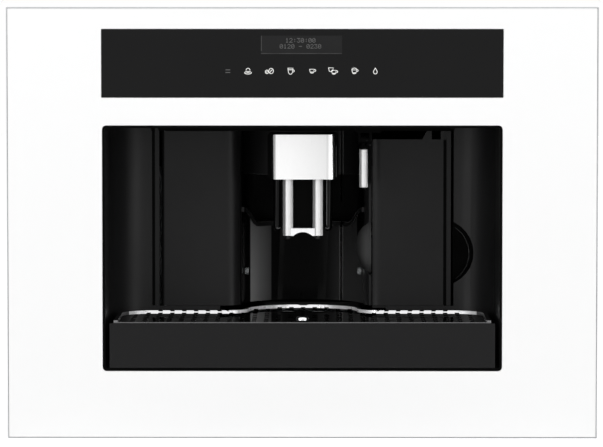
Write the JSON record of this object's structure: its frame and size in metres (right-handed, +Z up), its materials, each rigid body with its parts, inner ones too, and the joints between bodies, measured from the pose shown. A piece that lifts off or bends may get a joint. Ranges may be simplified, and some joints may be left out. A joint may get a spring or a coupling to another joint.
{
  "type": "built-in coffee machine",
  "caption": "Built-in bean-to-cup coffee machine: white glass front, black cup bay, height-adjustable spout on a hinged door, wand, pull-out tank and drip tray, on cabinet rails.",
  "frame": {"origin": "middle of the line where the niche floor meets the plane that the back of the front frame rests against", "axes": "+X to the right of someone facing the machine, +Y into the cabinet, +Z up"},
  "size_m": [0.595, 0.4069, 0.435],
  "materials": {
    "white_glass": "polished back-painted white glass",
    "black_glass": "polished black glass",
    "black_plastic": "satin black moulding",
    "gloss_black": "gloss black moulding",
    "dark_grey": "satin dark grey moulding",
    "chrome": "polished chrome",
    "brushed": "fine vertical brushing",
    "zinc": "zinc-plated sheet steel",
    "steel": "plain bright steel",
    "clear_plastic": "clear moulding",
    "board": "solder mask green",
    "silicone": "soft white silicone",
    "red_plastic": "satin red moulding"
  },
  "bodies": {
    "cabinet_rails": {"outer_rail_left": "steel", "outer_rail_right": "steel"},
    "middle_rails": {"middle_rail_left": "steel", "middle_rail_right": "steel"},
    "door": {"service_door": "black_plastic", "spout_guide": "gloss_black", "spout_cover": "brushed", "cup_light_left": "clear_plastic"},
    "spout": {"spout_carriage": "chrome", "carriage_core": "gloss_black", "coffee_nozzle_left": "black_plastic", "coffee_nozzle_right": "black_plastic"},
    "wand": {"wand_head": "black_plastic", "wand_tip": "chrome"},
    "drip_tray": {"tray_front": "dark_grey", "tray_basin": "black_plastic"},
    "grid": {"cup_grid": "chrome"},
    "float": {"tray_float": "chrome"},
    "grounds": {"grounds_container": "black_plastic"},
    "tank": {"tank_cover": "black_plastic", "tank_shell": "clear_plastic"},
    "flap": {"tank_lid": "black_plastic"},
    "valve": {"tank_valve": "silicone"},
    "bean_lid": {"hopper_lid": "black_plastic"},
    "powder_lid": {"funnel_lid": "black_plastic"},
    "knob": {"grind_knob": "black_plastic"},
    "burr": {"grinder_burr": "steel"},
    "chamber": {"brew_chamber": "dark_grey"},
    "button_right": {"release_button_right": "red_plastic"},
    "button_left": {"release_button_left": "red_plastic"},
    "rocker": {"main_switch": "black_plastic"},
    "appliance": {"front_frame": "zinc", "front_glass": "white_glass", "control_glass": "black_glass", "display_module": "gloss_black", "control_board": "board", "cavity_liner": "black_plastic", "right_column": "black_plastic", "hinge_pin_bottom": "steel", "hinge_pin_top": "steel", "cup_light_right": "clear_plastic", "wand_socket": "black_plastic", "tank_shelf": "black_plastic", "chassis_base": "zinc", "housing_cover": "zinc", "rear_panel": "zinc", "upper_deck": "zinc", "inner_rail_right": "steel", "inner_rail_left": "steel", "grinder_housing": "dark_grey", "grinder_motor": "steel", "bean_hopper": "clear_plastic", "coffee_funnel": "black_plastic", "brew_frame": "black_plastic", "water_pump": "steel", "coffee_boiler": "steel", "steam_boiler": "steel", "power_board": "board", "mains_inlet": "black_plastic", "suction_hose": "silicone"}
  },
  "joints": [
    {"name": "machine_slide", "type": "slide", "parent": "cabinet_rails", "child": "appliance", "axis": [0, -1, 0], "range_m": [0, 0.33]},
    {"name": "middle_rail_slide", "type": "slide", "parent": "cabinet_rails", "child": "middle_rails", "axis": [0, -1, 0], "range_m": [0, 0.165]},
    {"name": "door_hinge", "type": "hinge", "parent": "appliance", "child": "door", "pos_m": [-0.1436, 0.1175, 0.2], "axis": [0, 0, -1], "range_deg": [0, 90]},
    {"name": "spout_slide", "type": "slide", "parent": "door", "child": "spout", "axis": [0, 0, 1], "range_m": [0, 0.035]},
    {"name": "wand_pivot", "type": "hinge", "parent": "appliance", "child": "wand", "pos_m": [0.064, 0.08, 0.2922], "axis": [-1, 0, 0], "range_deg": [0, 50]},
    {"name": "tray_slide", "type": "slide", "parent": "appliance", "child": "drip_tray", "axis": [0, -1, 0], "range_m": [0, 0.26]},
    {"name": "grid_lift", "type": "slide", "parent": "drip_tray", "child": "grid", "axis": [0, 0, 1], "range_m": [0, 0.04]},
    {"name": "float_lift", "type": "slide", "parent": "drip_tray", "child": "float", "axis": [0, 0, 1], "range_m": [0, 0.008]},
    {"name": "grounds_lift", "type": "slide", "parent": "drip_tray", "child": "grounds", "axis": [0, 0, 1], "range_m": [0, 0.04]},
    {"name": "tank_slide", "type": "slide", "parent": "appliance", "child": "tank", "axis": [0, -1, 0], "range_m": [0, 0.235]},
    {"name": "tank_flap_hinge", "type": "hinge", "parent": "tank", "child": "flap", "pos_m": [0.112, 0.1933, 0.2882], "axis": [-1, 0, 0], "range_deg": [0, 60]},
    {"name": "tank_valve_slide", "type": "slide", "parent": "tank", "child": "valve", "axis": [0, 1, 0], "range_m": [0, 0.003]},
    {"name": "hopper_lid_hinge", "type": "hinge", "parent": "appliance", "child": "bean_lid", "pos_m": [-0.1, 0.341, 0.418], "axis": [-1, 0, 0], "range_deg": [0, 100]},
    {"name": "funnel_lid_hinge", "type": "hinge", "parent": "appliance", "child": "powder_lid", "pos_m": [0.02, 0.2925, 0.418], "axis": [-1, 0, 0], "range_deg": [0, 100]},
    {"name": "grind_knob_turn", "type": "hinge", "parent": "appliance", "child": "knob", "pos_m": [0.02, 0.172, 0.42], "axis": [0, 0, 1], "range_deg": [-150, 150]},
    {"name": "burr_spin", "type": "hinge", "parent": "appliance", "child": "burr", "pos_m": [-0.1, 0.255, 0.33], "axis": [0, 0, 1], "continuous": true},
    {"name": "brew_chamber_lift", "type": "slide", "parent": "appliance", "child": "chamber", "axis": [0, 0, 1], "range_m": [0, 0.034]},
    {"name": "button_right_press", "type": "slide", "parent": "appliance", "child": "button_right", "axis": [-1, 0, 0], "range_m": [0, 0.004], "stiffness_N_per_m": 300},
    {"name": "button_left_press", "type": "slide", "parent": "appliance", "child": "button_left", "axis": [1, 0, 0], "range_m": [0, 0.004], "stiffness_N_per_m": 300},
    {"name": "main_switch_rock", "type": "hinge", "parent": "appliance", "child": "rocker", "pos_m": [0.15, 0.379, 0.07], "axis": [1, 0, 0], "range_deg": [0, 20]}
  ],
  "couplings": [
    {"joint": "middle_rail_slide", "follows": "machine_slide", "ratio": 0.5}
  ]
}
